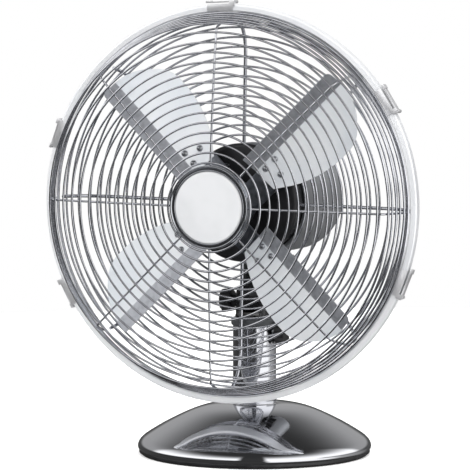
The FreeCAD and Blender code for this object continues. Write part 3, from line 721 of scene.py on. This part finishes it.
def foldRise(across):
    # height over the fold's sharp corner: two straight slopes joined by a small bend
    face, lip = (math.tan(math.radians(blade[side])) for side in ("faceSlope", "lipSlope"))
    half = blade["foldHalf"]
    if across < -half:
        return across * face
    if across > half:
        return across * lip
    bend = (lip - face) / 4
    return bend * half + across * (face + lip) / 2 + bend * across ** 2 / half


def bladeShape():
    bm = bmesh.new()
    drawLine(bm, blade["plan"], closed=True, arcSteps=10)
    bmesh.ops.rotate(bm, verts=bm.verts, matrix=Matrix.Rotation(-quarterTurn, 3, "X"))
    bmesh.ops.contextual_create(bm, geom=bm.edges[:])
    half = blade["foldHalf"]
    for place in (-2 * half, -half, -half / 2, 0, half / 2, half, 2 * half):
        bmesh.ops.bisect_plane(bm, geom=bm.verts[:] + bm.edges[:] + bm.faces[:],
                               plane_no=(0, 1, 0), plane_co=(0, blade["foldAt"] + place, 0))
    for vert in bm.verts:
        vert.co.z = blade["fold"] + foldRise(vert.co.y - blade["foldAt"]) + blade["thickness"] / 2
    pulled = bmesh.ops.extrude_face_region(bm, geom=bm.faces[:], use_keep_orig=True)["geom"]
    bmesh.ops.translate(bm, verts=vertsIn(pulled), vec=(0, 0, -blade["thickness"]))
    bmesh.ops.recalc_face_normals(bm, faces=bm.faces)
    for face in bm.faces:
        # faces past the fold take the second material, the lip's painted shade
        face.material_index = int(face.calc_center_median().y > blade["foldAt"])
    softenEdges(bm, blade["edge"], 40, 1)
    return bm


for number in range(blade["count"]):
    shape = bladeShape()
    turn = math.radians(blade["turn"] + number * 360 / blade["count"])
    bmesh.ops.rotate(shape, verts=shape.verts, matrix=Matrix.Rotation(turn, 3, "Z"))
    piece = finishPiece(shape, f"blade{number + 1}", "rotor", silverLacquer,
                        [f"blade_{number + 1}"], headPlace, blade["smoothUnder"])
    # the second material colours the lip darker as painted shade
    piece.data.materials.append(lipPaintedShade)
print("blades made")


# the rim clips: plates stay on the rim, levers swing
clips = {"count": 5, "edge": 0.25}
dressNode("clipPlates", "clip_brackets", "head", satinNickel, "chrome", clips["edge"])
for number in range(1, clips["count"] + 1):
    lever = f"clip_lever_{number}"
    dressNode(f"clipLever{number}", lever, lever, satinNickel, "chrome", clips["edge"])
print("clips made")


floor = {"radius": 1.1, "colour": "#F4F4F3", "centre": (0, 0.25, 0)}
floorMesh = bmesh.new()
bmesh.ops.create_circle(floorMesh, cap_ends=True, segments=96, radius=floor["radius"],
                        matrix=Matrix.Translation(floor["centre"]))
stageMesh = bpy.data.meshes.new("floor")
floorMesh.to_mesh(stageMesh)
floorMesh.free()
# opal acrylic table, lit from below: matt, with a faint tooth
paleTable = makeFinish("paleTable", {
    "colour": floor["colour"],
    "shader": {"Metallic": 0, "Roughness": 0.6, "IOR": 1.5,
               "Emission Color": (1, 1, 1, 1), "Emission Strength": 0.3},
    "patterns": [{"size": 3, "drives": "bump", "strength": 0.05, "depth": 0.05}],
})
stageMesh.materials.append(paleTable)
table = bpy.data.objects.new("floor", stageMesh)
scene.collection.objects.link(table)
table.visible_glossy = False  # the room light's lower part stands for it in reflections

# the floor, the camera and the lights are placed in metres
camera = {"azimuth": 21.75, "elevation": 4.1, "distance": 2.65, "lens": 226.7, "sensor": 36,
          "nearest": 0.05, "target": (0, 0, 0.2), "left": 0.01755, "down": 0.0039}
azimuth, elevation = math.radians(camera["azimuth"]), math.radians(camera["elevation"])
right = Vector((math.cos(azimuth), math.sin(azimuth), 0))
back = Vector((math.sin(azimuth) * math.cos(elevation), -math.cos(azimuth) * math.cos(elevation),
               math.sin(elevation)))
upward = back.cross(right)
target = Vector(camera["target"])
lookAt = target - right * camera["left"] - upward * camera["down"]
eye = bpy.data.objects.new("camera", bpy.data.cameras.new("camera"))
scene.collection.objects.link(eye)
eye.location = target + back * camera["distance"]
eye.rotation_mode = "QUATERNION"
eye.rotation_quaternion = (lookAt - eye.location).to_track_quat("-Z", "Y")
eye.data.lens = camera["lens"]
eye.data.sensor_width = camera["sensor"]
eye.data.clip_start = camera["nearest"]
scene.camera = eye
scene.view_settings.view_transform = "Standard"

# room light by direction: each row is how bright it is at an azimuth, in degrees from the
# camera's side, and the edges are the heights between which one row fades into the next
roomLight = {
    "under": [(-180, 0.05), (180, 0.05)],
    "below": [(-180, 0.08), (-95, 0.05), (10, 0.05), (16, 1.4), (75, 1.4), (95, 0.5),
              (130, 0.3), (150, 0.08), (180, 0.08)],
    "low": [(-180, 0.1), (-95, 0.04), (8, 0.04), (13, 1.5), (62, 1.5), (72, 0.4),
            (115, 0.3), (140, 0.1), (180, 0.1)],
    "middle": [(-180, 0.42), (-122, 0.42), (-110, 1.5), (-18, 1.5), (-13, 0.05), (9, 0.05),
               (13, 1.5), (118, 1.5), (128, 0.42), (180, 0.42)],
    "high": [(-180, 0.04), (180, 0.04)],
    "edges": [(-0.5, -0.3), (-0.12, -0.02), (0.06, 0.2), (0.35, 0.9)],
    "cameraWhite": 1.0,
}


def lightRing(tree, heading, rows):
    stops = addNode(tree, "ShaderNodeValToRGB", links={"Fac": heading})
    ramp = stops.color_ramp
    while len(ramp.elements) > 1:
        ramp.elements.remove(ramp.elements[-1])
    brightest = max(level for place, level in rows)
    for number, (place, level) in enumerate(rows):
        share = (place + 180) / 360
        stop = ramp.elements[0] if number == 0 else ramp.elements.new(share)
        stop.position = share
        stop.color = [level / brightest] * 3 + [1]
    scaled = addNode(tree, "ShaderNodeMath", {"operation": "MULTIPLY", 1: brightest},
                     {0: stops.outputs["Color"]})
    return scaled.outputs[0]


world = bpy.data.worlds.new("studio")
scene.world = world
world.use_nodes = True
sky = world.node_tree
sky.nodes.clear()
direction = addNode(sky, "ShaderNodeTexCoord").outputs["Generated"]
turnedDirection = addNode(sky, "ShaderNodeVectorRotate",
                          {"rotation_type": "Z_AXIS", "Angle": -azimuth}, {"Vector": direction})
parts = addNode(sky, "ShaderNodeSeparateXYZ", links={"Vector": turnedDirection.outputs["Vector"]})
forward = addNode(sky, "ShaderNodeMath", {"operation": "MULTIPLY", 1: -1},
                  {0: parts.outputs["Y"]})
bearing = addNode(sky, "ShaderNodeMath", {"operation": "ARCTAN2"},
                  {0: parts.outputs["X"], 1: forward.outputs[0]})
heading = addNode(sky, "ShaderNodeMapRange", {"From Min": -math.pi, "From Max": math.pi},
                  {"Value": bearing.outputs[0]})
levels = [lightRing(sky, heading.outputs["Result"], roomLight[row])
          for row in ("under", "below", "low", "middle", "high")]
brightness = levels[0]
for row, edges in enumerate(roomLight["edges"], start=1):
    share = addNode(sky, "ShaderNodeMapRange",
                    {"From Min": edges[0], "From Max": edges[1],
                     "interpolation_type": "SMOOTHSTEP"}, {"Value": parts.outputs["Z"]})
    blended = addNode(sky, "ShaderNodeMix", {"data_type": "FLOAT"},
                      {0: share.outputs["Result"], 2: brightness, 3: levels[row]})
    brightness = blended.outputs[0]
seen = addNode(sky, "ShaderNodeLightPath").outputs["Is Camera Ray"]
shown = addNode(sky, "ShaderNodeMix", {"data_type": "FLOAT", 3: roomLight["cameraWhite"]},
                {0: seen, 2: brightness})
glow = addNode(sky, "ShaderNodeBackground", {"Color": (1, 1, 1, 1)},
               {"Strength": shown.outputs[0]})
addNode(sky, "ShaderNodeOutputWorld", links={"Surface": glow.outputs["Background"]})

# wide soft lights, left out of reflections: one keeps the table white, two fill the painted faces
softLights = {
    "overhead": {"place": (0, 0, 1.6), "size": 2.4, "power": 48},
    "frontFill": {"place": (-0.3, -2.2, 0.7), "size": 1.6, "power": 34},
    "backFill": {"place": (0.3, 2.2, 0.8), "size": 1.6, "power": 22},
}
for name, light in softLights.items():
    lamp = bpy.data.lights.new(name, "AREA")
    lamp.shape = "DISK"
    lamp.size = light["size"]
    lamp.energy = light["power"]
    lampObject = bpy.data.objects.new(name, lamp)
    lampObject.location = light["place"]
    lampObject.rotation_mode = "QUATERNION"
    lampObject.rotation_quaternion = (target - lampObject.location).to_track_quat("-Z", "Y")
    lampObject.visible_glossy = False
    scene.collection.objects.link(lampObject)
print("studio ready")
